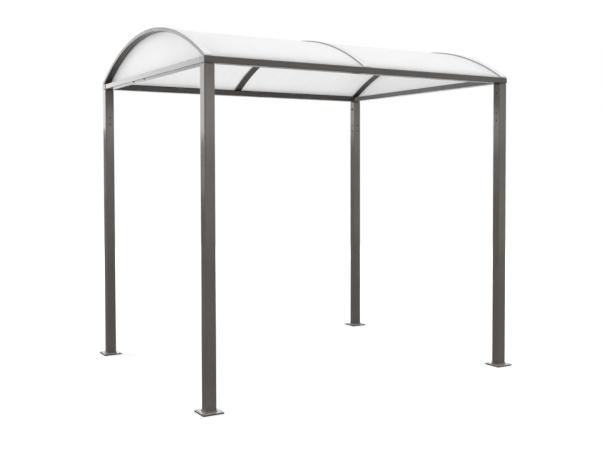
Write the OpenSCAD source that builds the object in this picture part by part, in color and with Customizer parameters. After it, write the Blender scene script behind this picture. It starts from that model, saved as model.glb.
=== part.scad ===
// Bike shelter: an open steel frame on four posts with a barrel-vault roof and panels in its arched ends.
// Millimetres. Origin on the floor at the plan centre, X along the shelter, front towards -Y, Z up.

/* [Overall] */
// Length of the roof frame over its end caps
frame_length = 2500; // [1800:10:3600]
// Depth of the roof frame from front to rear
frame_depth = 2000; // [1400:10:2600]
// Clear height from the floor to the underside of the roof frame
clear_height = 2150; // [1900:10:2600]

/* [Posts] */
// Outside width of a square post tube
post_size = 70; // [60:1:100]
// Wall of a post tube
post_wall = 3; // [2:0.5:5]
// Outside corner radius of a post tube
post_corner = 6; // [5.5:0.5:8]
// Open joint between the head of a post and the roof frame
head_gap = 10; // [4:1:20]

/* [Base plates] */
// Width of a base plate beyond each face of its post
plate_margin = 35; // [32:1:60]
// Thickness of a base plate
plate_thickness = 10; // [6:1:16]
// Diameter of an anchor hole
anchor_hole = 12; // [9:0.5:16]
// Leg of the weld bead round the foot of a post
weld_leg = 6; // [4:0.5:9]

/* [Roof frame] */
// Height of the frame tubes
beam_height = 40; // [30:1:80]
// Wall of the frame tubes
beam_wall = 3; // [2:0.5:5]
// Outside corner radius of the frame tubes
beam_corner = 4; // [3:0.5:6]
// Thickness of an end cap outside its tube
cap_thickness = 3; // [2:0.5:6]
// Length of the plug behind an end cap
cap_plug = 15; // [8:1:30]
// Wall of the plug behind an end cap
cap_wall = 2; // [1.5:0.5:4]

/* [Spigots] */
// Length of a spigot inside its post
spigot_length = 300; // [220:5:500]
// Wall of a spigot tube
spigot_wall = 4; // [3:0.5:6]
// Diameter of a fixing hole through post and spigot
fixing_hole = 8; // [5:0.5:11]
// Upper fixing hole below the roof frame
fixing_upper = 73; // [40:1:90]
// Lowest fixing hole above the lower end of its spigot
fixing_end = 29; // [20:1:45]
// Pitch of the two lower fixing holes
fixing_pitch = 54; // [30:1:70]

/* [Ribs] */
// Rise of a rib from the top of the frame to its crest
rib_rise = 284; // [180:2:450]
// Width of a rib bar along the shelter
rib_width = 60; // [40:1:90]
// Radial depth of a rib bar
rib_depth = 10; // [6:0.5:16]
// Set-back of a rib foot from the outer face of its beam
rib_setback = 8; // [7:0.5:14]
// Station of the middle rib, measured from the middle of the shelter
middle_station = -43; // [-300:1:300]

/* [Roof skin] */
// Thickness of a roof sheet
sheet_thickness = 4; // [3:0.5:10]
// Open joint between the two sheets on the middle rib
sheet_joint = 8; // [4:1:16]
// Height of a sheet edge above the top of its beam
sheet_lift = 1; // [0.5:0.5:3]
// Thickness of a gasket
gasket_thickness = 5; // [4:0.5:8]
// Depth of the groove under a gasket
gasket_groove = 2; // [1:0.5:3]
// Width of each lip of a gasket
gasket_lip = 14; // [8:1:18]
// Thickness of a cover strip
strip_thickness = 3; // [2:0.5:5]
// Height of an eave rail at its inner face
rail_height = 12; // [8:0.5:16]
// Height of an eave rail at its outer edge
rail_toe_height = 2; // [1:0.5:4]

/* [End panels] */
// Thickness of an end panel
panel_thickness = 4; // [3:0.5:10]
// Set-back of an end panel from the right-hand edge of its rib
panel_setback = 3; // [2:0.5:10]
// Height of the blunt tips of an end panel
panel_tip = 12; // [6:1:30]

/* [Fits] */
// Clearance round a tube that slides into another one
slide_clearance = 0.3; // [0.2:0.1:0.6]
// Clearance between curved layers of the roof
seat_clearance = 0.3; // [0.2:0.1:0.6]

/* [Hidden] */
$fn = 48;
arc_steps = 360;
past = 1;

tube_end = frame_length / 2 - cap_thickness;
half_depth = frame_depth / 2;
beam_width = post_size;
frame_top = clear_height + beam_height;
post_x = tube_end - post_size / 2;
post_y = half_depth - post_size / 2;
post_head = clear_height - head_gap;

plate_size = post_size + 2 * plate_margin;
anchor_offset = post_size / 2 + weld_leg + (plate_margin - weld_leg) / 2;

spigot_size = post_size - 2 * post_wall - 2 * slide_clearance;
spigot_corner = post_corner - post_wall;
fixing_lower = head_gap + spigot_length - fixing_end;
fixing_middle = fixing_lower - fixing_pitch;

foot_half_chord = half_depth - rib_setback;
rib_radius = (pow(foot_half_chord, 2) + pow(rib_rise, 2)) / (2 * rib_rise);
arch_centre = frame_top + rib_rise - rib_radius;
sheet_inner = rib_radius + seat_clearance;
sheet_outer = sheet_inner + sheet_thickness;
gasket_inner = sheet_outer + seat_clearance;
gasket_outer = gasket_inner + gasket_thickness;
strip_inner = gasket_outer + seat_clearance;
strip_outer = strip_inner + strip_thickness;
edge_angle = acos((frame_top + sheet_lift - arch_centre) / sheet_inner);

end_station = tube_end - rib_width / 2;
rail_inner = sqrt(pow(rib_radius, 2) - pow(frame_top + rail_height - arch_centre, 2));
rail_toe = sqrt(pow(rib_radius, 2) - pow(frame_top + rail_toe_height - arch_centre, 2));

panel_radius = rib_radius - rib_depth - seat_clearance;
panel_half = sqrt(pow(panel_radius, 2) - pow(frame_top + panel_tip - arch_centre, 2));

// Places a piece modelled for the front left corner at the corner (sx, sy).
module at_corner(sx, sy) {
    mirror([sx > 0 ? 1 : 0, 0, 0])
        mirror([0, sy > 0 ? 1 : 0, 0])
            children();
}

// Rectangle with round corners, centred.
module round_rect(width, height, radius) {
    square([width - 2 * radius, height], center = true);
    square([width, height - 2 * radius], center = true);
    for (sx = [-1, 1], sy = [-1, 1])
        translate([sx * (width / 2 - radius), sy * (height / 2 - radius)])
            circle(r = radius);
}

// Section of a tube with round corners outside and inside.
module tube_section(width, height, wall, corner) {
    difference() {
        round_rect(width, height, corner);
        round_rect(width - 2 * wall, height - 2 * wall, max(corner - wall, 0.5));
    }
}

// Extrudes a section drawn in (Y, Z) along X between two stations.
module along_x(from_x, to_x) {
    translate([from_x, 0, 0])
        rotate([90, 0, 90])
            linear_extrude(height = to_x - from_x)
                children();
}

// Extrudes a section drawn in (X, Z) along Y between two stations.
module along_y(from_y, to_y) {
    translate([0, to_y, 0])
        rotate([90, 0, 0])
            linear_extrude(height = to_y - from_y)
                children();
}

// Ring of the vault between two radii, above a level, drawn in (Y, Z).
module vault_ring(inner, outer, level) {
    intersection() {
        translate([0, arch_centre])
            difference() {
                circle(r = outer, $fn = arc_steps);
                circle(r = inner, $fn = arc_steps);
            }
        translate([-frame_depth, level])
            square([2 * frame_depth, frame_depth]);
    }
}

// Ring of the vault with square cut edges at the angle of the sheet edge, drawn in (Y, Z).
module skin_ring(inner, outer) {
    reach = 2 * outer;
    intersection() {
        translate([0, arch_centre])
            difference() {
                circle(r = outer, $fn = arc_steps);
                circle(r = inner, $fn = arc_steps);
            }
        translate([0, arch_centre])
            polygon([
                [0, 0],
                [reach * sin(edge_angle), reach * cos(edge_angle)],
                [0, reach / cos(edge_angle)],
                [-reach * sin(edge_angle), reach * cos(edge_angle)]
            ]);
    }
}

// Fixing holes on the two inner faces of a post, for the front left corner.
module fixing_bores() {
    for (drop = [fixing_upper, fixing_middle, fixing_lower])
        translate([-post_x, -post_y, clear_height - drop])
            rotate([0, 90, 0])
                cylinder(d = fixing_hole, h = post_size);
    for (drop = [fixing_middle, fixing_lower])
        translate([-post_x, -post_y, clear_height - drop])
            rotate([-90, 0, 0])
                cylinder(d = fixing_hole, h = post_size);
}

module base_plate(sx, sy) {
    color([0.37, 0.35, 0.34])
        at_corner(sx, sy)
            translate([-post_x, -post_y, 0])
                difference() {
                    translate([-plate_size / 2, -plate_size / 2, 0])
                        cube([plate_size, plate_size, plate_thickness]);
                    for (ax = [-1, 1], ay = [-1, 1])
                        translate([ax * anchor_offset, ay * anchor_offset, -past])
                            cylinder(d = anchor_hole, h = plate_thickness + 2 * past);
                }
}

// Mitred bead: two sloped ridges crossed, with the post left out.
module foot_weld(sx, sy) {
    half = post_size / 2;
    profile = [[-half - weld_leg, 0], [half + weld_leg, 0], [half, weld_leg], [-half, weld_leg]];
    bore_corner = post_corner - 2 * slide_clearance;
    color([0.34, 0.33, 0.32])
        at_corner(sx, sy)
            translate([-post_x, -post_y, plate_thickness])
                difference() {
                    intersection() {
                        along_x(-plate_size, plate_size)
                            polygon(profile);
                        along_y(-plate_size, plate_size)
                            polygon(profile);
                    }
                    translate([0, 0, -past])
                        linear_extrude(height = weld_leg + 2 * past)
                            round_rect(post_size, post_size, bore_corner);
                }
}

module post(sx, sy) {
    color([0.37, 0.35, 0.34])
        at_corner(sx, sy)
            difference() {
                translate([-post_x, -post_y, plate_thickness])
                    linear_extrude(height = post_head - plate_thickness)
                        tube_section(post_size, post_size, post_wall, post_corner);
                fixing_bores();
            }
}

module spigot(sx, sy) {
    color([0.30, 0.29, 0.28])
        at_corner(sx, sy)
            difference() {
                translate([-post_x, -post_y, post_head - spigot_length])
                    linear_extrude(height = spigot_length + head_gap)
                        tube_section(spigot_size, spigot_size, spigot_wall, spigot_corner);
                fixing_bores();
            }
}

module long_beam(sy) {
    color([0.37, 0.35, 0.34])
        translate([0, sy * post_y, clear_height + beam_height / 2])
            along_x(-tube_end, tube_end)
                tube_section(beam_width, beam_height, beam_wall, beam_corner);
}

module end_beam(sx) {
    reach = half_depth - beam_width;
    color([0.37, 0.35, 0.34])
        translate([sx * post_x, 0, clear_height + beam_height / 2])
            along_y(-reach, reach)
                tube_section(beam_width, beam_height, beam_wall, beam_corner);
}

module beam_cap(sx, sy) {
    plug_width = beam_width - 2 * (beam_wall + slide_clearance);
    plug_height = beam_height - 2 * (beam_wall + slide_clearance);
    color([0.36, 0.34, 0.33])
        at_corner(sx, sy)
            translate([0, -post_y, clear_height + beam_height / 2]) {
                along_x(-tube_end - cap_thickness, -tube_end)
                    round_rect(beam_width, beam_height, beam_corner);
                along_x(-tube_end, -tube_end + cap_plug)
                    tube_section(plug_width, plug_height, cap_wall, cap_wall);
            }
}

// Rail between two ribs, a wedge that fills the corner between the beam and the sheet.
module eave_rail(from_station, to_station, sy) {
    color([0.33, 0.31, 0.30])
        at_corner(-1, sy)
            along_x(from_station + rib_width / 2 + slide_clearance, to_station - rib_width / 2 - slide_clearance)
                translate([0, frame_top])
                    polygon([
                        [-rail_inner, 0],
                        [-rail_inner, rail_height],
                        [-rail_toe, rail_toe_height],
                        [-rail_toe, 0]
                    ]);
}

// Flat bar rolled to the curve and cut level where it stands on the beams.
module rib(station) {
    color([0.34, 0.33, 0.32])
        along_x(station - rib_width / 2, station + rib_width / 2)
            vault_ring(rib_radius - rib_depth, rib_radius, frame_top);
}

module roof_sheet(from_x, to_x) {
    color([0.95, 0.96, 0.97, 0.8])
        along_x(from_x, to_x)
            skin_ring(sheet_inner, sheet_outer);
}

module gasket(station) {
    color([0.12, 0.12, 0.12])
        difference() {
            along_x(station - rib_width / 2, station + rib_width / 2)
                skin_ring(gasket_inner, gasket_outer);
            along_x(station - rib_width / 2 + gasket_lip, station + rib_width / 2 - gasket_lip)
                skin_ring(gasket_inner - past, gasket_inner + gasket_groove);
        }
}

module cover_strip(station) {
    color([0.85, 0.85, 0.86])
        along_x(station - rib_width / 2, station + rib_width / 2)
            skin_ring(strip_inner, strip_outer);
}

// Flat panel under the curve of a rib, standing on the end beam.
module end_panel(station) {
    edge = station + rib_width / 2 - panel_setback;
    color([0.95, 0.96, 0.97, 0.8])
        along_x(edge - panel_thickness, edge)
            intersection() {
                translate([0, arch_centre])
                    circle(r = panel_radius, $fn = arc_steps);
                translate([-panel_half, frame_top])
                    square([2 * panel_half, rib_rise]);
            }
}

module base_plate_front_left() { base_plate(-1, -1); }
module base_plate_front_right() { base_plate(1, -1); }
module base_plate_rear_left() { base_plate(-1, 1); }
module base_plate_rear_right() { base_plate(1, 1); }
module foot_weld_front_left() { foot_weld(-1, -1); }
module foot_weld_front_right() { foot_weld(1, -1); }
module foot_weld_rear_left() { foot_weld(-1, 1); }
module foot_weld_rear_right() { foot_weld(1, 1); }
module post_front_left() { post(-1, -1); }
module post_front_right() { post(1, -1); }
module post_rear_left() { post(-1, 1); }
module post_rear_right() { post(1, 1); }
module spigot_front_left() { spigot(-1, -1); }
module spigot_front_right() { spigot(1, -1); }
module spigot_rear_left() { spigot(-1, 1); }
module spigot_rear_right() { spigot(1, 1); }
module front_beam() { long_beam(-1); }
module rear_beam() { long_beam(1); }
module left_end_beam() { end_beam(-1); }
module right_end_beam() { end_beam(1); }
module beam_cap_front_left() { beam_cap(-1, -1); }
module beam_cap_front_right() { beam_cap(1, -1); }
module beam_cap_rear_left() { beam_cap(-1, 1); }
module beam_cap_rear_right() { beam_cap(1, 1); }
module eave_rail_front_left() { eave_rail(-end_station, middle_station, -1); }
module eave_rail_front_right() { eave_rail(middle_station, end_station, -1); }
module eave_rail_rear_left() { eave_rail(-end_station, middle_station, 1); }
module eave_rail_rear_right() { eave_rail(middle_station, end_station, 1); }
module rib_left() { rib(-end_station); }
module rib_middle() { rib(middle_station); }
module rib_right() { rib(end_station); }
module roof_sheet_left() { roof_sheet(-tube_end, middle_station - sheet_joint / 2); }
module roof_sheet_right() { roof_sheet(middle_station + sheet_joint / 2, tube_end); }
module gasket_left() { gasket(-end_station); }
module gasket_middle() { gasket(middle_station); }
module gasket_right() { gasket(end_station); }
module cover_strip_left() { cover_strip(-end_station); }
module cover_strip_middle() { cover_strip(middle_station); }
module cover_strip_right() { cover_strip(end_station); }
module end_panel_left() { end_panel(-end_station); }
module end_panel_right() { end_panel(end_station); }

base_plate_front_left();
base_plate_front_right();
base_plate_rear_left();
base_plate_rear_right();
foot_weld_front_left();
foot_weld_front_right();
foot_weld_rear_left();
foot_weld_rear_right();
post_front_left();
post_front_right();
post_rear_left();
post_rear_right();
spigot_front_left();
spigot_front_right();
spigot_rear_left();
spigot_rear_right();
front_beam();
rear_beam();
left_end_beam();
right_end_beam();
beam_cap_front_left();
beam_cap_front_right();
beam_cap_rear_left();
beam_cap_rear_right();
eave_rail_front_left();
eave_rail_front_right();
eave_rail_rear_left();
eave_rail_rear_right();
rib_left();
rib_middle();
rib_right();
roof_sheet_left();
roof_sheet_right();
gasket_left();
gasket_middle();
gasket_right();
cover_strip_left();
cover_strip_middle();
cover_strip_right();
end_panel_left();
end_panel_right();
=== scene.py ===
import math

import bmesh
import bpy
from mathutils import Matrix, Vector


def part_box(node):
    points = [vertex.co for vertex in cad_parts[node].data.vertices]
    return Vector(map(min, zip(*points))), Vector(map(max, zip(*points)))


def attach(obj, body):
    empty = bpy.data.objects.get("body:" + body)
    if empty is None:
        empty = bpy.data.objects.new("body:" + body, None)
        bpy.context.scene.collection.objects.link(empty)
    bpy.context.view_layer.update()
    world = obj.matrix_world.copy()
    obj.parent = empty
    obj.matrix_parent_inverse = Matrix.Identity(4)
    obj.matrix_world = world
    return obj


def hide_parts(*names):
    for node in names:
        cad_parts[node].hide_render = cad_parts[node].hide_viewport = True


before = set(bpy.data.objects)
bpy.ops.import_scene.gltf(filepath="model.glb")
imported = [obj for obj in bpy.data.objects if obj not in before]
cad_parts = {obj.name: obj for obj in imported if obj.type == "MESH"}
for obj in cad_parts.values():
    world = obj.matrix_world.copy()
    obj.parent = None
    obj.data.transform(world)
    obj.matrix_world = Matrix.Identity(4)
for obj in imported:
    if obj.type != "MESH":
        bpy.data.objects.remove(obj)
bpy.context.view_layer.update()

bl_info = {
    "name": "Bike shelter dressing",
    "version": (1, 0, 0),
    "blender": (4, 5, 0),
    "location": "View3D > Sidebar > Shelter",
    "description": "Paints the open shelter frame and adds its welds, screws, stage and camera",
    "category": "Object",
}

BODY = "root"
IMAGE_WIDTH = 603
SENSOR_WIDTH = 36.0
VIEW_RANGE = 200.0
CORNERS = ("front_left", "front_right", "rear_left", "rear_right")
RIBS = ("left", "middle", "right")

# Tones of the parts of the frame, as factors of the coat colour
TONES = {
    # plates: the one coat darkened, painted shade on their edges
    "plate": 0.55,
    # end beams: the one coat made paler, painted light on them
    "end_beam": 1.75,
    # long beams: the one coat darkened, painted shade
    "long_beam": 0.57,
    "rib": 0.84,
    # rib sides that look along the shelter: made paler, painted light
    "rib_lit_side": 1.72,
    # spigots: darkened, painted shade in the gap between post and frame
    "spigot": 0.4,
    "weld": 0.96,
    "screw": 0.6,
}

# Tone of the end panels (painted shade), tint left in the paler end beams (painted light), painted
# highlight on the plate tops, roughness under the long beams
END_PANEL_SHADE = 0.93
END_BEAM_WARMTH = 0.35
PLATE_TOP_SHEEN = 0.95
UNDERSIDE_DULLNESS = 0.13

# Gloss of the parts: factors of the coat's roughness, and specular levels
SPIGOT_GLOSS = 1.3
WELD_GLOSS = 1.1
RIB_SPECULAR = 0.30
# Specular level of the level faces that carry the painted highlight
TOP_SHEEN_SPECULAR = 0.25

# Middle part of a noise, which is stretched to a full range
NOISE_SPAN = (0.3, 0.7)

# How squarely a face looks along an axis where it starts to count, and where it counts in full
SIDE_RANGE = (0.6, 0.9)
FLAT_RANGE = (0.7, 0.95)

# Height to which dust clings to the steel
DUST_HEIGHT = 0.22

# Eased edges of the CAD nodes: how they are found and made, and their widths in metres
MERGE_DISTANCE = 0.00001
EASE_ANGLE = 40.0
EASE_SEGMENTS = 2
PLATE_EASE = 0.0012
RIB_EASE = 0.0012
RAIL_EASE = 0.0006
CAP_EASE = 0.0008
PANEL_EASE = 0.0005
STRIP_EASE = 0.0006

# Corner radius of the posts, which the foot beads follow
POST_CORNER = 0.006

# Weld beads: points across, sections for each ripple, rise and dip of a ripple
BEAD_POINTS = 7
RIPPLE_SECTIONS = 5
RIPPLE_RISE = 0.11
RIPPLE_DIP = 0.05

# Beads at the rib feet: share of the foot weld's leg, clearance from the rib's sides,
# slope of the rib's inner face (back and up), and height within which points are at its foot
RIB_BEAD_SHARE = 0.6
BEAD_MARGIN = 0.002
RIB_SLOPE = (0.55, 0.83)
FOOT_HEIGHT = 0.0001

# Drops of the fixing holes below the roof frame: on the faces across and along the shelter
DROPS_ACROSS = (0.073, 0.227, 0.281)
DROPS_ALONG = (0.227, 0.281)

# The one post screw that is black and wider: its corner and number
BLACK_SCREW = ("rear_right", 1)

# Screws under the left end beam: places along it, inset from its outer face, height in heads
BEAM_SCREWS = (0.065, 0.290)
BEAM_SCREW_INSET = 0.011
BEAM_SCREW_STRETCH = 1.3

# Floor: radius, drop below the plates, grey, and the glow that makes it white
FLOOR_RADIUS = 60.0
FLOOR_DROP = 0.0005
FLOOR_GREY = 0.80
FLOOR_GLOW = 0.28

# Key light: direction and width of the sky patch it comes from
KEY_DIRECTION = (-0.15, 0.55, -1.0)
KEY_ANGLE = 50.0

# Softboxes: name, place, target, width, height and share of the glow
SOFTBOXES = (
    ("softbox_rear", (-4.3, 5.7, 3.55), (0.0, 0.0, 1.9), 5.6, 3.2, 0.85),
    ("softbox_back", (5.0, 8.2, 3.0), (0.0, 0.0, 0.4), 8.0, 2.6, 1.0),
    ("softbox_right", (7.5, 0.8, 3.2), (0.0, 0.0, 1.6), 5.0, 4.0, 0.35),
    ("softbox_front", (3.45, -7.6, 2.4), (0.0, 0.0, 2.0), 6.2, 0.95, 0.8),
)

# Upright cards under the rear softbox: name, both ends, bottom, top and grey
UPRIGHT_CARDS = (
    ("flag_high", (-7.4, 4.4), (-3.5, 5.85), 1.15, 1.98, 0.90),
    ("flag_side", (-3.5, 5.85), (-2.0, 6.41), 1.15, 2.08, 0.42),
    ("flag_low", (-7.4, 4.4), (-2.0, 6.41), 0.0, 1.15, 0.20),
)

# Round card on the near floor: name, radius, limit towards the rear and grey
ROUND_CARD = ("flag_round", 11.0, 6.3, 0.16)

# Cards on the far floor: name, near left corner, far right corner and grey
FLOOR_CARDS = (
    ("flag_long", (4.3, 10.5), (6.6, 17.6), 0.08),
    ("flag_far", (14.3, 8.0), (22.0, 17.5), 0.06),
)

# Steps round the floor and the round card
ROUND_STEPS = 96


# Settings


class ShelterPaint(bpy.types.PropertyGroup):
    """Colours and gloss of the painted steel."""

    coat: bpy.props.FloatVectorProperty(
        name="Coat colour",
        description="Warm grey powder coat of the posts, beams and ribs",
        subtype="COLOR",
        default=(0.110, 0.0965, 0.086),
        min=0.0,
        max=1.0,
    )
    # Colour of real dust low on the posts, and of the painted highlight on the tops of the base plates
    dust_and_sheen: bpy.props.FloatVectorProperty(
        name="Dust colour",
        description="Pale dust on the base plates and the lowest part of the posts",
        subtype="COLOR",
        default=(0.42, 0.41, 0.39),
        min=0.0,
        max=1.0,
    )
    roughness: bpy.props.FloatProperty(
        name="Coat roughness",
        description="Middle roughness of the satin coat",
        subtype="FACTOR",
        default=0.15,
        min=0.05,
        max=1.0,
    )
    peel: bpy.props.FloatProperty(
        name="Orange peel",
        description="Height of the fine waves in the coat",
        unit="LENGTH",
        default=0.00003,
        min=0.0,
        max=0.001,
    )


class ShelterSkin(bpy.types.PropertyGroup):
    """Colours of the roof sheets and of what holds them."""

    opal: bpy.props.FloatVectorProperty(
        name="Opal colour",
        description="Body colour of the diffusing roof sheets",
        subtype="COLOR",
        default=(0.938, 0.940, 0.953),
        min=0.0,
        max=1.0,
    )
    strip: bpy.props.FloatVectorProperty(
        name="Strip colour",
        description="Pale coat of the cover strips",
        subtype="COLOR",
        default=(0.84, 0.84, 0.85),
        min=0.0,
        max=1.0,
    )
    # Grey of the cover strips' side faces, those that look along the shelter
    side_grey: bpy.props.FloatVectorProperty(
        name="Cut edge colour",
        description="Bare metal on the cut edges of the cover strips",
        subtype="COLOR",
        default=(0.36, 0.36, 0.365),
        min=0.0,
        max=1.0,
    )
    rubber: bpy.props.FloatVectorProperty(
        name="Rubber colour",
        description="Colour of the gaskets under the strips",
        subtype="COLOR",
        default=(0.36, 0.36, 0.362),
        min=0.0,
        max=1.0,
    )


class ShelterFixings(bpy.types.PropertyGroup):
    """Sizes of screws, welds and strip stops."""

    head_radius: bpy.props.FloatProperty(
        name="Head radius",
        description="Radius of a screw head",
        unit="LENGTH",
        default=0.0070,
        min=0.005,
        max=0.012,
    )
    wide_head_radius: bpy.props.FloatProperty(
        name="Wide head radius",
        description="Radius of the black screw head on the rear right post",
        unit="LENGTH",
        default=0.0105,
        min=0.007,
        max=0.014,
    )
    head_height: bpy.props.FloatProperty(
        name="Head height",
        description="Height of a screw head",
        unit="LENGTH",
        default=0.0040,
        min=0.002,
        max=0.008,
    )
    weld_leg: bpy.props.FloatProperty(
        name="Foot weld leg",
        description="Leg of the bead round the foot of a post",
        unit="LENGTH",
        default=0.0090,
        min=0.004,
        max=0.010,
    )
    stop_thickness: bpy.props.FloatProperty(
        name="Stop thickness",
        description="Thickness of the stops at the ends of the cover strips",
        unit="LENGTH",
        default=0.0020,
        min=0.001,
        max=0.004,
    )
    weld_pitch: bpy.props.FloatProperty(
        name="Weld ripple pitch",
        description="Distance between two ripples of a bead",
        unit="LENGTH",
        default=0.0045,
        min=0.002,
        max=0.010,
    )


class ShelterStage(bpy.types.PropertyGroup):
    """Floor, light and camera."""

    camera_place: bpy.props.FloatVectorProperty(
        name="Camera place",
        description="Where the camera stands",
        subtype="TRANSLATION",
        unit="LENGTH",
        default=(-3.317, -5.603, 1.495),
    )
    yaw: bpy.props.FloatProperty(
        name="Camera yaw",
        description="Turn of the view from straight back towards the right",
        subtype="ANGLE",
        default=math.radians(30.73),
    )
    pitch: bpy.props.FloatProperty(
        name="Camera pitch",
        description="Tilt of the view above the horizon",
        subtype="ANGLE",
        default=math.radians(-1.78),
    )
    roll: bpy.props.FloatProperty(
        name="Camera roll",
        description="Turn of the picture about the line of sight",
        subtype="ANGLE",
        default=math.radians(-0.13),
    )
    focal_pixels: bpy.props.FloatProperty(
        name="Focal length in pixels",
        description="Focal length for the width of the picture",
        default=826.8,
        min=100.0,
    )
    shift: bpy.props.FloatVectorProperty(
        name="Camera shift",
        description="Shift of the picture in widths",
        size=2,
        default=(0.0033, -0.0499),
    )
    glow: bpy.props.FloatProperty(
        name="Softbox glow",
        description="Brightness of the softboxes in the gloss of the coat",
        default=2.8,
        min=0.0,
    )
    sky: bpy.props.FloatProperty(
        name="Sky light",
        description="Strength of the even light from all round",
        default=0.72,
        min=0.0,
    )
    key: bpy.props.FloatProperty(
        name="Key light",
        description="Strength of the soft key light",
        default=0.75,
        min=0.0,
    )


GROUPS = {
    "shelter_paint": ShelterPaint,
    "shelter_skin": ShelterSkin,
    "shelter_fixings": ShelterFixings,
    "shelter_stage": ShelterStage,
}


# Node helpers


class Shader:
    """A node material that is built up from named steps."""

    def __init__(self, name):
        self.material = bpy.data.materials.new(name)
        self.material.use_nodes = True
        self.tree = self.material.node_tree
        self.surface = self.tree.nodes["Principled BSDF"]
        self.place = self.add("ShaderNodeTexCoord").outputs["Object"]

    def add(self, kind, **values):
        """Adds a node and sets its properties."""
        node = self.tree.nodes.new(kind)
        for key, value in values.items():
            setattr(node, key, value)
        return node

    def link(self, source, target):
        """Joins an output to an input."""
        self.tree.links.new(source, target)

    def put(self, socket, value):
        """Sets a constant, or joins an output, on the surface shader."""
        target = self.surface.inputs[socket]
        if isinstance(value, bpy.types.NodeSocket):
            self.link(value, target)
        elif isinstance(value, (tuple, list)):
            target.default_value = (*value, 1.0)[: len(target.default_value)]
        else:
            target.default_value = value

    def stretched(self, scale):
        """Object place scaled unevenly, for streaks."""
        node = self.add("ShaderNodeMapping")
        node.inputs["Scale"].default_value = scale
        self.link(self.place, node.inputs["Vector"])
        return node.outputs["Vector"]

    def noise(self, scale, detail=2.0, roughness=0.5, vector=None):
        """Noise of a given scale per metre."""
        node = self.add("ShaderNodeTexNoise")
        node.inputs["Scale"].default_value = scale
        node.inputs["Detail"].default_value = detail
        node.inputs["Roughness"].default_value = roughness
        self.link(vector or self.place, node.inputs["Vector"])
        return node.outputs["Fac"]

    def ramp(self, value, low, high, to_low=0.0, to_high=1.0, smooth=False):
        """Maps a range of values to another one."""
        node = self.add("ShaderNodeMapRange")
        node.interpolation_type = "SMOOTHSTEP" if smooth else "LINEAR"
        self.link(value, node.inputs["Value"])
        limits = {"From Min": low, "From Max": high, "To Min": to_low, "To Max": to_high}
        for socket, number in limits.items():
            node.inputs[socket].default_value = number
        return node.outputs["Result"]

    def blend(self, factor, first, second):
        """Mixes two colours by a factor."""
        node = self.add("ShaderNodeMix", data_type="RGBA")
        for socket, value in ((0, factor), (6, first), (7, second)):
            if isinstance(value, bpy.types.NodeSocket):
                self.link(value, node.inputs[socket])
            elif isinstance(value, (tuple, list)):
                node.inputs[socket].default_value = (*value, 1.0)
            else:
                node.inputs[socket].default_value = value
        return node.outputs[2]

    def combine(self, first, second, operation="MULTIPLY"):
        """Joins two values by a product or another operation."""
        node = self.add("ShaderNodeMath", operation=operation)
        for socket, value in enumerate((first, second)):
            if isinstance(value, bpy.types.NodeSocket):
                self.link(value, node.inputs[socket])
            else:
                node.inputs[socket].default_value = value
        return node.outputs[0]

    def bump(self, height, distance):
        """Normal of a height field whose waves are a given distance high."""
        node = self.add("ShaderNodeBump")
        node.inputs["Strength"].default_value = 1.0
        node.inputs["Distance"].default_value = distance
        self.link(height, node.inputs["Height"])
        return node.outputs["Normal"]

    def looking(self, axis, limits):
        """How far a face looks along an axis of the shelter, either way, from 0 to 1."""
        node = self.add("ShaderNodeSeparateXYZ")
        self.link(self.add("ShaderNodeTexCoord").outputs["Normal"], node.inputs[0])
        return self.ramp(self.combine(node.outputs[axis], 0.0, "ABSOLUTE"), *limits)

    def height(self):
        """Height above the floor in metres."""
        node = self.add("ShaderNodeSeparateXYZ")
        self.link(self.place, node.inputs[0])
        return node.outputs["Z"]


def shared(name, make, *values):
    """A material that several steps use, made by the first of them."""
    return bpy.data.materials.get(name) or make(name, *values)


def shade(colour, factor):
    """A colour made lighter or darker."""
    return tuple(min(1.0, channel * factor) for channel in colour)


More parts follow.
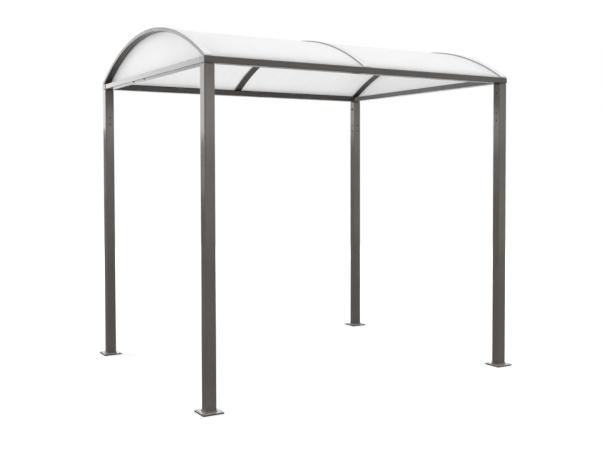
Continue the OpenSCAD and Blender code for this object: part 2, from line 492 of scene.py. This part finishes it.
def powder_coat(name, paint, tone=1.0, gloss=1.0, edge=None, warmth=1.0, top_sheen=0.0, under=0.0):
    """Satin powder coat: cloudy tone, fine waves and a little dust near the floor.

    With an edge tone, the faces that look along the shelter are made paler as painted light, and the
    coat is less shiny.
    A top sheen makes the level faces paler in patches, a painted highlight in the dust colour, and the
    coat less shiny.
    A dull underside makes the level faces rougher.
    """
    s = Shader(name)
    grey = sum(paint.coat) / 3
    coat = tuple(grey + warmth * (channel - grey) for channel in paint.coat)
    clouds = s.ramp(s.noise(2.3, 4.0), *NOISE_SPAN)
    body = s.blend(clouds, shade(coat, 0.93 * tone), shade(coat, 1.07 * tone))
    specks = s.ramp(s.noise(900.0, 2.0), 0.62, 0.72)
    body = s.blend(s.combine(specks, 0.25), body, shade(coat, 1.6 * tone))
    # Painted light: the faces that look along the shelter are made paler
    if edge is not None:
        side = s.looking("X", SIDE_RANGE)
        body = s.blend(side, body, shade((grey, grey, grey), edge))
        s.put("Specular IOR Level", RIB_SPECULAR)
    # Painted highlight: the level faces are made paler in patches, in the dust colour, and less shiny
    if top_sheen:
        patches = s.ramp(s.noise(60.0, 4.0, 0.6), 0.25, 0.75, 0.7 * top_sheen, top_sheen)
        top_sheen_mask = s.combine(s.looking("Z", FLAT_RANGE), patches)
        body = s.blend(top_sheen_mask, body, tuple(paint.dust_and_sheen))
        s.put("Specular IOR Level", TOP_SHEEN_SPECULAR)
    low = s.ramp(s.height(), 0.0, DUST_HEIGHT, 1.0, 0.0, smooth=True)
    dusty = s.combine(low, s.ramp(s.noise(35.0, 5.0, 0.65), 0.42, 0.75))
    s.put("Base Color", s.blend(s.combine(dusty, 0.08), body, tuple(paint.dust_and_sheen)))
    middle = paint.roughness * gloss
    uneven = s.ramp(s.noise(9.0, 3.0), *NOISE_SPAN, middle - 0.04, middle + 0.04)
    if under:
        dull = s.combine(s.looking("Z", FLAT_RANGE), under)
        uneven = s.combine(uneven, dull, "ADD")
    s.put("Roughness", s.combine(uneven, s.combine(dusty, 0.15), "ADD"))
    s.put("IOR", 1.42)
    s.put("Normal", s.bump(s.noise(420.0, 1.0), paint.peel))
    return s.material


def weld_coat(paint):
    """Coat of the weld beads, a little rougher than that of the posts."""
    return shared("weld_coat", powder_coat, paint, TONES["weld"], WELD_GLOSS)


def opal(name, skin, tone=1.0):
    """Opal sheet: milky body that lets some light through, with faint run-off streaks."""
    s = Shader(name)
    colour = shade(tuple(skin.opal), tone)
    streaks = s.ramp(s.noise(1.0, 4.0, 0.55, s.stretched((22.0, 1.1, 1.1))), 0.35, 0.75)
    s.put("Base Color", s.blend(streaks, colour, shade(colour, 0.965)))
    s.put("Roughness", s.ramp(s.noise(14.0, 3.0), *NOISE_SPAN, 0.50, 0.60))
    s.put("IOR", 1.49)
    s.put("Subsurface Weight", 1.0)
    s.put("Subsurface Radius", (1.0, 1.0, 1.0))
    s.put("Subsurface Scale", 0.025)
    s.put("Normal", s.bump(s.noise(6.0, 2.0), 0.0006))
    return s.material


def strip_coat(name, skin):
    """Pale coated aluminium with a faint drawn grain along the curve, and greyer side faces that look
    along the shelter.
    """
    s = Shader(name)
    colour = tuple(skin.strip)
    grain = s.noise(1.0, 3.0, 0.6, s.stretched((900.0, 9.0, 9.0)))
    cloud = s.ramp(s.noise(7.0, 3.0), *NOISE_SPAN)
    face = s.blend(cloud, shade(colour, 0.96), shade(colour, 1.03))
    # The faces that look along the shelter are greyer than the top
    s.put("Base Color", s.blend(s.looking("X", SIDE_RANGE), face, tuple(skin.side_grey)))
    s.put("Roughness", s.ramp(grain, 0.25, 0.75, 0.32, 0.46))
    s.put("IOR", 1.45)
    s.put("Normal", s.bump(grain, 0.00004))
    return s.material


def rubber(name, skin):
    """Dull grey rubber with a fine pressed grain."""
    s = Shader(name)
    colour = tuple(skin.rubber)
    grain = s.noise(650.0, 3.0)
    s.put("Base Color", s.blend(s.ramp(grain, *NOISE_SPAN), shade(colour, 0.85), shade(colour, 1.15)))
    s.put("Roughness", s.ramp(s.noise(60.0, 3.0), *NOISE_SPAN, 0.62, 0.78))
    s.put("Normal", s.bump(grain, 0.00006))
    return s.material


def cap_plastic(name, paint):
    """Moulded cap in the colour of the coat, with a fine spark grain."""
    s = Shader(name)
    coat = tuple(paint.coat)
    grain = s.noise(1400.0, 2.0)
    cloud = s.ramp(s.noise(30.0, 3.0), *NOISE_SPAN)
    s.put("Base Color", s.blend(cloud, shade(coat, 0.95), shade(coat, 1.08)))
    s.put("Roughness", s.ramp(grain, *NOISE_SPAN, 0.20, 0.28))
    s.put("IOR", 1.45)
    s.put("Normal", s.bump(grain, 0.00003))
    return s.material


def screw_steel(name):
    """Blackened steel of the screws, rubbed brighter in patches."""
    s = Shader(name)
    rubbed = s.ramp(s.noise(420.0, 4.0), 0.48, 0.72)
    s.put("Base Color", s.blend(rubbed, (0.010, 0.010, 0.011), (0.035, 0.034, 0.033)))
    s.put("Roughness", s.ramp(rubbed, 0.0, 1.0, 0.62, 0.50))
    s.put("IOR", 1.35)
    s.put("Normal", s.bump(s.noise(900.0, 2.0), 0.00003))
    return s.material


# Mesh helpers


def dress(node, material, bevel=0.0):
    """Gives a CAD node its finish and, if asked, eased edges."""
    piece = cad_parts[node]
    piece.data.materials.clear()
    piece.data.materials.append(material)
    if bevel:
        weld = piece.modifiers.new("join", "WELD")
        weld.merge_threshold = MERGE_DISTANCE
        ease = piece.modifiers.new("ease", "BEVEL")
        ease.width = bevel
        ease.segments = EASE_SEGMENTS
        ease.limit_method = "ANGLE"
        ease.angle_limit = math.radians(EASE_ANGLE)


def finish_piece(name, bm, material, smooth=True):
    """Turns a bmesh into a piece that rides on the shelter."""
    bmesh.ops.recalc_face_normals(bm, faces=bm.faces)
    mesh = bpy.data.meshes.new(name)
    bm.to_mesh(mesh)
    bm.free()
    for face in mesh.polygons:
        face.use_smooth = smooth
    mesh.materials.append(material)
    piece = bpy.data.objects.new(name, mesh)
    bpy.context.scene.collection.objects.link(piece)
    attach(piece, BODY)
    return piece


def socket_head(bm, matrix, radius, height):
    """Button head with a six-sided socket, standing on the plane Z = 0."""
    socket = 0.42 * radius
    depth = 0.55 * height
    crown = 1.25 * socket
    rim = 0.18
    bends = 6
    steps = 36
    turns = [math.tau * i / steps for i in range(steps)]
    profile = [(radius, 0.0), (radius, rim * height)]
    for i in range(1, bends):
        angle = math.radians(90.0 * i / bends)
        across = crown + (radius - crown) * math.cos(angle)
        profile.append((across, height * (rim + (1.0 - rim) * math.sin(angle))))
    profile.append((crown, height))
    rings = []
    for r, z in profile:
        points = [Vector((r * math.cos(turn), r * math.sin(turn), z)) for turn in turns]
        rings.append([bm.verts.new(matrix @ point) for point in points])
    for z in (height, height - depth):
        ring = []
        for turn in turns:
            r = socket * math.cos(math.pi / 6) / math.cos((turn % (math.pi / 3)) - math.pi / 6)
            ring.append(bm.verts.new(matrix @ Vector((r * math.cos(turn), r * math.sin(turn), z))))
        rings.append(ring)
    join_rings(bm, rings, False)


def facing(place, normal):
    """Matrix that stands a piece made along +Z on a face."""
    turn = Vector((0.0, 0.0, 1.0)).rotation_difference(Vector(normal)).to_matrix().to_4x4()
    return Matrix.Translation(Vector(place)) @ turn


def rounded_loop(half, radius, step):
    """Points and outward normals round a square with round corners."""
    flat = half - radius
    points = []
    for quarter in range(4):
        turn = Matrix.Rotation(math.radians(90.0 * quarter), 2)
        count = max(2, round(2 * flat / step))
        for i in range(count):
            along = -flat + 2 * flat * i / count
            points.append((turn @ Vector((half, along)), turn @ Vector((1.0, 0.0))))
        bends = max(4, round(radius * math.pi / 2 / step * 2))
        for i in range(bends):
            angle = math.radians(90.0) * i / bends
            normal = Vector((math.cos(angle), math.sin(angle)))
            points.append((turn @ (Vector((flat, flat)) + radius * normal), turn @ normal))
    return points


def ripple(distance, pitch, lean):
    """Height factor of a bead at a distance along it: overlapping scales."""
    phase = (distance / pitch + lean) % 1.0
    return 1.0 + RIPPLE_RISE * (1.0 - (2.0 * phase - 1.0) ** 2) - RIPPLE_DIP


def bead_ring(bm, base, outward, upward, leg, distance, pitch):
    """One section of a fillet bead between two faces; returns its points."""
    ring = [bm.verts.new(base)]
    for i in range(BEAD_POINTS):
        angle = math.radians(90.0) * i / (BEAD_POINTS - 1)
        across = math.cos(angle) * outward + math.sin(angle) * upward
        flat = 1.0 / (math.cos(angle) + math.sin(angle))
        lean = 0.35 * math.sin(2.0 * angle)
        reach = leg * (0.55 * flat + 0.36) * ripple(distance, pitch, lean)
        ring.append(bm.verts.new(base + reach * across))
    return ring


def join_rings(bm, rings, closed):
    """Skins a row of equal sections."""
    pairs = list(zip(rings, rings[1:]))
    if closed:
        pairs.append((rings[-1], rings[0]))
    size = len(rings[0])
    for first, second in pairs:
        for i in range(size):
            j = (i + 1) % size
            bm.faces.new((first[i], first[j], second[j], second[i]))
    if not closed:
        bm.faces.new(list(reversed(rings[0])))
        bm.faces.new(rings[-1])


def straight_bead(bm, start, end, outward, upward, leg, pitch):
    """Fillet bead along a straight seam, with tapered ends."""
    along = Vector(end) - Vector(start)
    outward = Vector(outward)
    upward = Vector(upward)
    count = max(8, round(along.length / pitch * RIPPLE_SECTIONS))
    rings = []
    for i in range(count + 1):
        t = i / count
        taper = min(1.0, 0.35 + 4.0 * min(t, 1.0 - t))
        place = Vector(start) + t * along
        distance = t * along.length
        rings.append(bead_ring(bm, place, outward, upward, leg * taper, distance, pitch))
    join_rings(bm, rings, False)


# Operators


class SHELTER_OT_paint_frame(bpy.types.Operator):
    """Paints the posts, base plates, spigots, beams, ribs and eave rails"""

    bl_idname = "shelter.paint_frame"
    bl_label = "Paint the steel frame"

    def execute(self, context):
        paint = context.scene.shelter_paint
        post = powder_coat("post_coat", paint)
        # Plates: the coat is darkened as painted shade, with a painted highlight on the level faces
        plate = powder_coat("plate_coat", paint, TONES["plate"], top_sheen=PLATE_TOP_SHEEN)
        # Painted light: the end beams' coat is made paler and greyer for the light that falls on them
        end_beam = powder_coat("beam_coat", paint, TONES["end_beam"], warmth=END_BEAM_WARMTH)
        # Painted shade: the coat of the front and rear beams is made darker
        long_beam = powder_coat("long_beam_coat", paint, TONES["long_beam"], under=UNDERSIDE_DULLNESS)
        rib = powder_coat("rib_coat", paint, TONES["rib"], edge=TONES["rib_lit_side"])
        # Painted shade: the spigots, seen in the gap under the frame, are made darker
        spigot = powder_coat("spigot_coat", paint, TONES["spigot"], SPIGOT_GLOSS)
        for corner in CORNERS:
            dress(f"post_{corner}", post)
            dress(f"base_plate_{corner}", plate, PLATE_EASE)
            dress(f"spigot_{corner}", spigot)
            dress(f"eave_rail_{corner}", rib, RAIL_EASE)
        for side in ("front", "rear"):
            dress(f"{side}_beam", long_beam)
        for side in ("left", "right"):
            dress(f"{side}_end_beam", end_beam)
        for rib_name in RIBS:
            dress(f"rib_{rib_name}", rib, RIB_EASE)
        return {"FINISHED"}


class SHELTER_OT_cap_beams(bpy.types.Operator):
    """Gives the moulded end caps of the long beams their finish"""

    bl_idname = "shelter.cap_beams"
    bl_label = "Finish the beam caps"

    def execute(self, context):
        plastic = cap_plastic("cap_plastic", context.scene.shelter_paint)
        for corner in CORNERS:
            dress(f"beam_cap_{corner}", plastic, CAP_EASE)
        return {"FINISHED"}


class SHELTER_OT_dress_roof(bpy.types.Operator):
    """Gives the sheets, end panels, gaskets and cover strips their finishes"""

    bl_idname = "shelter.dress_roof"
    bl_label = "Dress the roof"

    def execute(self, context):
        skin = context.scene.shelter_skin
        sheet = opal("opal_sheet", skin)
        # Painted shade: the end panels are made darker than the roof sheets of the same opal
        panel = opal("opal_panel", skin, END_PANEL_SHADE)
        strip = shared("strip_coat", strip_coat, skin)
        seal = rubber("gasket_rubber", skin)
        for side in ("left", "right"):
            dress(f"roof_sheet_{side}", sheet)
            dress(f"end_panel_{side}", panel, PANEL_EASE)
        for rib_name in RIBS:
            dress(f"gasket_{rib_name}", seal)
            dress(f"cover_strip_{rib_name}", strip, STRIP_EASE)
        return {"FINISHED"}


class SHELTER_OT_close_strips(bpy.types.Operator):
    """Closes both ends of each cover strip with a small pale stop"""

    bl_idname = "shelter.close_strips"
    bl_label = "Close the strip ends"

    def execute(self, context):
        coat = shared("strip_coat", strip_coat, context.scene.shelter_skin)
        thickness = context.scene.shelter_fixings.stop_thickness
        for rib_name in RIBS:
            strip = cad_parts[f"cover_strip_{rib_name}"].data.vertices
            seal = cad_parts[f"gasket_{rib_name}"].data.vertices
            low_x = min(v.co.x for v in strip)
            high_x = max(v.co.x for v in strip)
            for side, name in ((-1.0, "front"), (1.0, "rear")):
                top = max((v.co for v in strip), key=lambda co: side * co.y)
                foot = min((v.co for v in seal if side * v.co.y > 0.0), key=lambda co: co.z)
                bm = self.stop(low_x, high_x, foot, top, side, thickness)
                piece = finish_piece(f"strip_stop_{rib_name}_{name}", bm, coat, smooth=False)
        return {"FINISHED"}

    def stop(self, low_x, high_x, foot, top, side, thickness):
        """Plate with round edges across the ends of a strip and its gasket."""
        outward = Vector((0.0, top.y - foot.y, top.z - foot.z))
        height = outward.length
        outward.normalize()
        down = Vector((0.0, side * outward.z, -side * outward.y))
        width = high_x - low_x
        centre = Vector(((low_x + high_x) / 2, foot.y, foot.z)) + outward * height / 2
        bm = bmesh.new()
        bmesh.ops.create_cube(bm, size=1.0)
        across = Vector((1.0, 0.0, 0.0))
        for v in bm.verts:
            v.co = (
                centre
                + across * v.co.x * width
                + outward * v.co.y * height
                + down * (v.co.z + 0.5) * thickness
            )
        outer = [v for v in bm.verts if (v.co - centre).dot(down) > thickness / 2]
        edges = [e for e in bm.edges if all(v in outer for v in e.verts)]
        round_off = 0.45 * thickness
        bmesh.ops.bevel(bm, geom=edges, offset=round_off, segments=3, profile=0.5, affect="EDGES")
        return bm


class SHELTER_OT_weld_feet(bpy.types.Operator):
    """Lays a rippled bead round the foot of each post"""

    bl_idname = "shelter.weld_feet"
    bl_label = "Weld the post feet"

    def execute(self, context):
        fixings = context.scene.shelter_fixings
        leg = fixings.weld_leg
        pitch = fixings.weld_pitch
        upward = Vector((0.0, 0.0, 1.0))
        coat = weld_coat(context.scene.shelter_paint)
        for corner in CORNERS:
            low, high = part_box(f"post_{corner}")
            middle = (low + high) / 2
            loop = rounded_loop((high.x - low.x) / 2, POST_CORNER, pitch / RIPPLE_SECTIONS)
            bm = bmesh.new()
            rings = []
            distance = 0.0
            last = None
            for point, normal in loop:
                if last is not None:
                    distance += (point - last).length
                last = point
                base = Vector((middle.x + point.x, middle.y + point.y, low.z))
                outward = Vector((normal.x, normal.y, 0.0))
                rings.append(bead_ring(bm, base, outward, upward, leg, distance, pitch))
            join_rings(bm, rings, True)
            piece = finish_piece(f"foot_bead_{corner}", bm, coat)
            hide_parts(f"foot_weld_{corner}")
        return {"FINISHED"}


class SHELTER_OT_weld_ribs(bpy.types.Operator):
    """Lays a short bead along the inner side of each rib foot"""

    bl_idname = "shelter.weld_ribs"
    bl_label = "Weld the rib feet"

    def execute(self, context):
        fixings = context.scene.shelter_fixings
        coat = weld_coat(context.scene.shelter_paint)
        leg = RIB_BEAD_SHARE * fixings.weld_leg
        for rib_name in RIBS:
            low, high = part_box(f"rib_{rib_name}")
            points = [v.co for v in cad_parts[f"rib_{rib_name}"].data.vertices]
            foot = [abs(co.y) for co in points if co.z < low.z + FOOT_HEIGHT]
            inner = max(y for y in foot if y < high.y - BEAD_MARGIN)
            for side, name in ((-1.0, "front"), (1.0, "rear")):
                bm = bmesh.new()
                start = (low.x + BEAD_MARGIN, side * inner, low.z)
                end = (high.x - BEAD_MARGIN, side * inner, low.z)
                outward = (0.0, -side, 0.0)
                upward = (0.0, -side * RIB_SLOPE[0], RIB_SLOPE[1])
                straight_bead(bm, start, end, outward, upward, leg, fixings.weld_pitch)
                piece = finish_piece(f"rib_bead_{rib_name}_{name}", bm, coat)
        return {"FINISHED"}


class SHELTER_OT_screw_posts(bpy.types.Operator):
    """Puts a button-head screw in each fixing hole of the post heads"""

    bl_idname = "shelter.screw_posts"
    bl_label = "Screw the post heads"

    def execute(self, context):
        fixings = context.scene.shelter_fixings
        steel = shared("screw_steel", screw_steel)
        coated = powder_coat("screw_coat", context.scene.shelter_paint, TONES["screw"])
        frame_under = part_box("front_beam")[0].z
        for corner in CORNERS:
            low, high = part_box(f"post_{corner}")
            middle = (low + high) / 2
            inward_x = -math.copysign(1.0, middle.x)
            inward_y = -math.copysign(1.0, middle.y)
            half = (high.x - low.x) / 2
            x = middle.x + inward_x * half
            y = middle.y + inward_y * half
            places = [((x, middle.y), (inward_x, 0.0, 0.0), drop) for drop in DROPS_ACROSS]
            places += [((middle.x, y), (0.0, inward_y, 0.0), drop) for drop in DROPS_ALONG]
            for number, (spot, normal, drop) in enumerate(places, 1):
                bm = bmesh.new()
                black = (corner, number) == BLACK_SCREW
                radius = fixings.wide_head_radius if black else fixings.head_radius
                stand = facing((*spot, frame_under - drop), normal)
                socket_head(bm, stand, radius, fixings.head_height)
                metal = steel if black else coated
                piece = finish_piece(f"post_screw_{corner}_{number}", bm, metal, smooth=False)
        return {"FINISHED"}


class SHELTER_OT_screw_beam(bpy.types.Operator):
    """Puts two small screws under the left end beam, near its outer edge"""

    bl_idname = "shelter.screw_beam"
    bl_label = "Screw the left end beam"

    def execute(self, context):
        fixings = context.scene.shelter_fixings
        steel = shared("screw_steel", screw_steel)
        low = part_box("left_end_beam")[0]
        height = BEAM_SCREW_STRETCH * fixings.head_height
        for number, y in enumerate(BEAM_SCREWS, 1):
            bm = bmesh.new()
            stand = facing((low.x + BEAM_SCREW_INSET, y, low.z), (0.0, 0.0, -1.0))
            socket_head(bm, stand, fixings.head_radius, height)
            piece = finish_piece(f"beam_screw_{number}", bm, steel, smooth=False)
        return {"FINISHED"}


class SHELTER_OT_stage(bpy.types.Operator):
    """Sets up the pale floor, the soft light and the camera"""

    bl_idname = "shelter.stage"
    bl_label = "Set the stage"

    def execute(self, context):
        stage = context.scene.shelter_stage
        self.floor()
        self.sky(context, stage.sky)
        self.lamps(stage)
        self.flags()
        self.camera(context, stage)
        context.scene.view_settings.view_transform = "Standard"
        return {"FINISHED"}

    def floor(self):
        """Round pale floor that stays white and keeps the soft shadow."""
        bm = bmesh.new()
        bmesh.ops.create_circle(bm, cap_ends=True, segments=ROUND_STEPS, radius=FLOOR_RADIUS)
        mesh = bpy.data.meshes.new("floor")
        bm.to_mesh(mesh)
        bm.free()
        material = bpy.data.materials.new("floor_white")
        material.use_nodes = True
        tree = material.node_tree
        surface = tree.nodes["Principled BSDF"]
        surface.inputs["Base Color"].default_value = (FLOOR_GREY, FLOOR_GREY, FLOOR_GREY, 1.0)
        surface.inputs["Roughness"].default_value = 0.9
        surface.inputs["Specular IOR Level"].default_value = 0.0
        surface.inputs["Emission Color"].default_value = (1.0, 1.0, 1.0, 1.0)
        tree.links.new(self.seen(tree, 0.0, FLOOR_GLOW), surface.inputs["Emission Strength"])
        mesh.materials.append(material)
        piece = bpy.data.objects.new("floor", mesh)
        bpy.context.scene.collection.objects.link(piece)
        piece.location.z = -FLOOR_DROP

    def seen(self, tree, hidden, shown):
        """A strength for rays that see the background, and another for the light it gives."""
        path = tree.nodes.new("ShaderNodeLightPath")
        total = path.outputs["Is Camera Ray"]
        for name in ("Is Glossy Ray", "Is Transmission Ray"):
            node = tree.nodes.new("ShaderNodeMath")
            node.operation = "MAXIMUM"
            tree.links.new(total, node.inputs[0])
            tree.links.new(path.outputs[name], node.inputs[1])
            total = node.outputs[0]
        scale = tree.nodes.new("ShaderNodeMapRange")
        scale.inputs["To Min"].default_value = hidden
        scale.inputs["To Max"].default_value = shown
        tree.links.new(total, scale.inputs["Value"])
        return scale.outputs["Result"]

    def sky(self, context, strength):
        """Even white surroundings."""
        world = bpy.data.worlds.new("studio")
        world.use_nodes = True
        background = world.node_tree.nodes["Background"]
        background.inputs["Color"].default_value = (1.0, 1.0, 1.0, 1.0)
        shown = self.seen(world.node_tree, strength, 1.0)
        world.node_tree.links.new(shown, background.inputs["Strength"])
        context.scene.world = world

    def lamps(self, stage):
        """A wide soft key from above the front, and four softboxes that the coat mirrors."""
        sun = bpy.data.lights.new("key", "SUN")
        sun.energy = stage.key
        sun.angle = math.radians(KEY_ANGLE)
        lamp = bpy.data.objects.new("key", sun)
        lamp.rotation_euler = Vector(KEY_DIRECTION).to_track_quat("-Z", "Y").to_euler()
        bpy.context.scene.collection.objects.link(lamp)
        for name, place, target, width, height, share in SOFTBOXES:
            self.softbox(name, place, target, width, height, share * stage.glow)

    def softbox(self, name, place, target, width, height, glow):
        """Evenly glowing panel turned to a target."""
        panel = bpy.data.lights.new(name, "AREA")
        panel.shape = "RECTANGLE"
        panel.size = width
        panel.size_y = height
        panel.energy = math.pi * width * height * glow
        lamp = bpy.data.objects.new(name, panel)
        lamp.location = place
        lamp.rotation_euler = (Vector(target) - lamp.location).to_track_quat("-Z", "Y").to_euler()
        lamp.visible_camera = False
        bpy.context.scene.collection.objects.link(lamp)

    def flags(self):
        """Grey cards on the floor and under the rear softbox, seen in the gloss of the coat only."""
        cards = []
        for name, near, far, low, high, grey in UPRIGHT_CARDS:
            cards.append((name, ((*near, low), (*far, low), (*far, high), (*near, high)), grey))
        name, radius, limit, grey = ROUND_CARD
        turns = [math.tau * i / ROUND_STEPS for i in range(ROUND_STEPS)]
        rim = [(radius * math.cos(turn), radius * math.sin(turn)) for turn in turns]
        cards.append((name, [(x, min(y, limit), 0.0) for x, y in rim], grey))
        for name, (left, front), (right, rear), grey in FLOOR_CARDS:
            corners = ((left, front), (right, front), (right, rear), (left, rear))
            cards.append((name, [(x, y, 0.0) for x, y in corners], grey))
        for name, corners, grey in cards:
            bm = bmesh.new()
            bm.faces.new([bm.verts.new(corner) for corner in corners])
            mesh = bpy.data.meshes.new(name)
            bm.to_mesh(mesh)
            bm.free()
            material = bpy.data.materials.new(name)
            material.use_nodes = True
            surface = material.node_tree.nodes["Principled BSDF"]
            surface.inputs["Base Color"].default_value = (grey, grey, grey, 1.0)
            surface.inputs["Roughness"].default_value = 1.0
            surface.inputs["Specular IOR Level"].default_value = 0.0
            mesh.materials.append(material)
            piece = bpy.data.objects.new(name, mesh)
            bpy.context.scene.collection.objects.link(piece)
            piece.visible_camera = False
            piece.visible_diffuse = False
            piece.visible_shadow = False
            piece.visible_transmission = False

    def camera(self, context, stage):
        """Camera at the place and angle of the picture."""
        lens = bpy.data.cameras.new("camera")
        lens.sensor_fit = "HORIZONTAL"
        lens.sensor_width = SENSOR_WIDTH
        lens.lens = stage.focal_pixels / IMAGE_WIDTH * SENSOR_WIDTH
        lens.shift_x, lens.shift_y = stage.shift
        lens.clip_end = VIEW_RANGE
        camera = bpy.data.objects.new("camera", lens)
        turn = Matrix.Rotation(-stage.yaw, 4, "Z")
        turn = turn @ Matrix.Rotation(math.radians(90.0) + stage.pitch, 4, "X")
        turn = turn @ Matrix.Rotation(stage.roll, 4, "Z")
        camera.matrix_world = Matrix.Translation(Vector(stage.camera_place)) @ turn
        context.scene.collection.objects.link(camera)
        context.scene.camera = camera


OPERATORS = (
    SHELTER_OT_paint_frame,
    SHELTER_OT_cap_beams,
    SHELTER_OT_dress_roof,
    SHELTER_OT_close_strips,
    SHELTER_OT_weld_feet,
    SHELTER_OT_weld_ribs,
    SHELTER_OT_screw_posts,
    SHELTER_OT_screw_beam,
    SHELTER_OT_stage,
)


class SHELTER_PT_sidebar(bpy.types.Panel):
    """Lists the steps and their settings"""

    bl_idname = "SHELTER_PT_sidebar"
    bl_label = "Bike shelter"
    bl_space_type = "VIEW_3D"
    bl_region_type = "UI"
    bl_category = "Shelter"

    def draw(self, context):
        layout = self.layout
        for name, group in GROUPS.items():
            box = layout.box()
            box.label(text=group.__doc__)
            settings = getattr(context.scene, name)
            for key in group.__annotations__:
                box.prop(settings, key)
        for operator in OPERATORS:
            layout.operator(operator.bl_idname)


def register():
    for group in GROUPS.values():
        bpy.utils.register_class(group)
    for name, group in GROUPS.items():
        setattr(bpy.types.Scene, name, bpy.props.PointerProperty(type=group))
    for cls in (*OPERATORS, SHELTER_PT_sidebar):
        bpy.utils.register_class(cls)


def unregister():
    for cls in (SHELTER_PT_sidebar, *reversed(OPERATORS)):
        bpy.utils.unregister_class(cls)
    for name in GROUPS:
        delattr(bpy.types.Scene, name)
    for group in GROUPS.values():
        bpy.utils.unregister_class(group)


def main():
    register()
    bpy.ops.shelter.paint_frame()
    bpy.ops.shelter.cap_beams()
    bpy.ops.shelter.dress_roof()
    bpy.ops.shelter.close_strips()
    bpy.ops.shelter.weld_feet()
    bpy.ops.shelter.weld_ribs()
    bpy.ops.shelter.screw_posts()
    bpy.ops.shelter.screw_beam()
    bpy.ops.shelter.stage()
    bpy.context.view_layer.update()


if __name__ == "__main__":
    main()
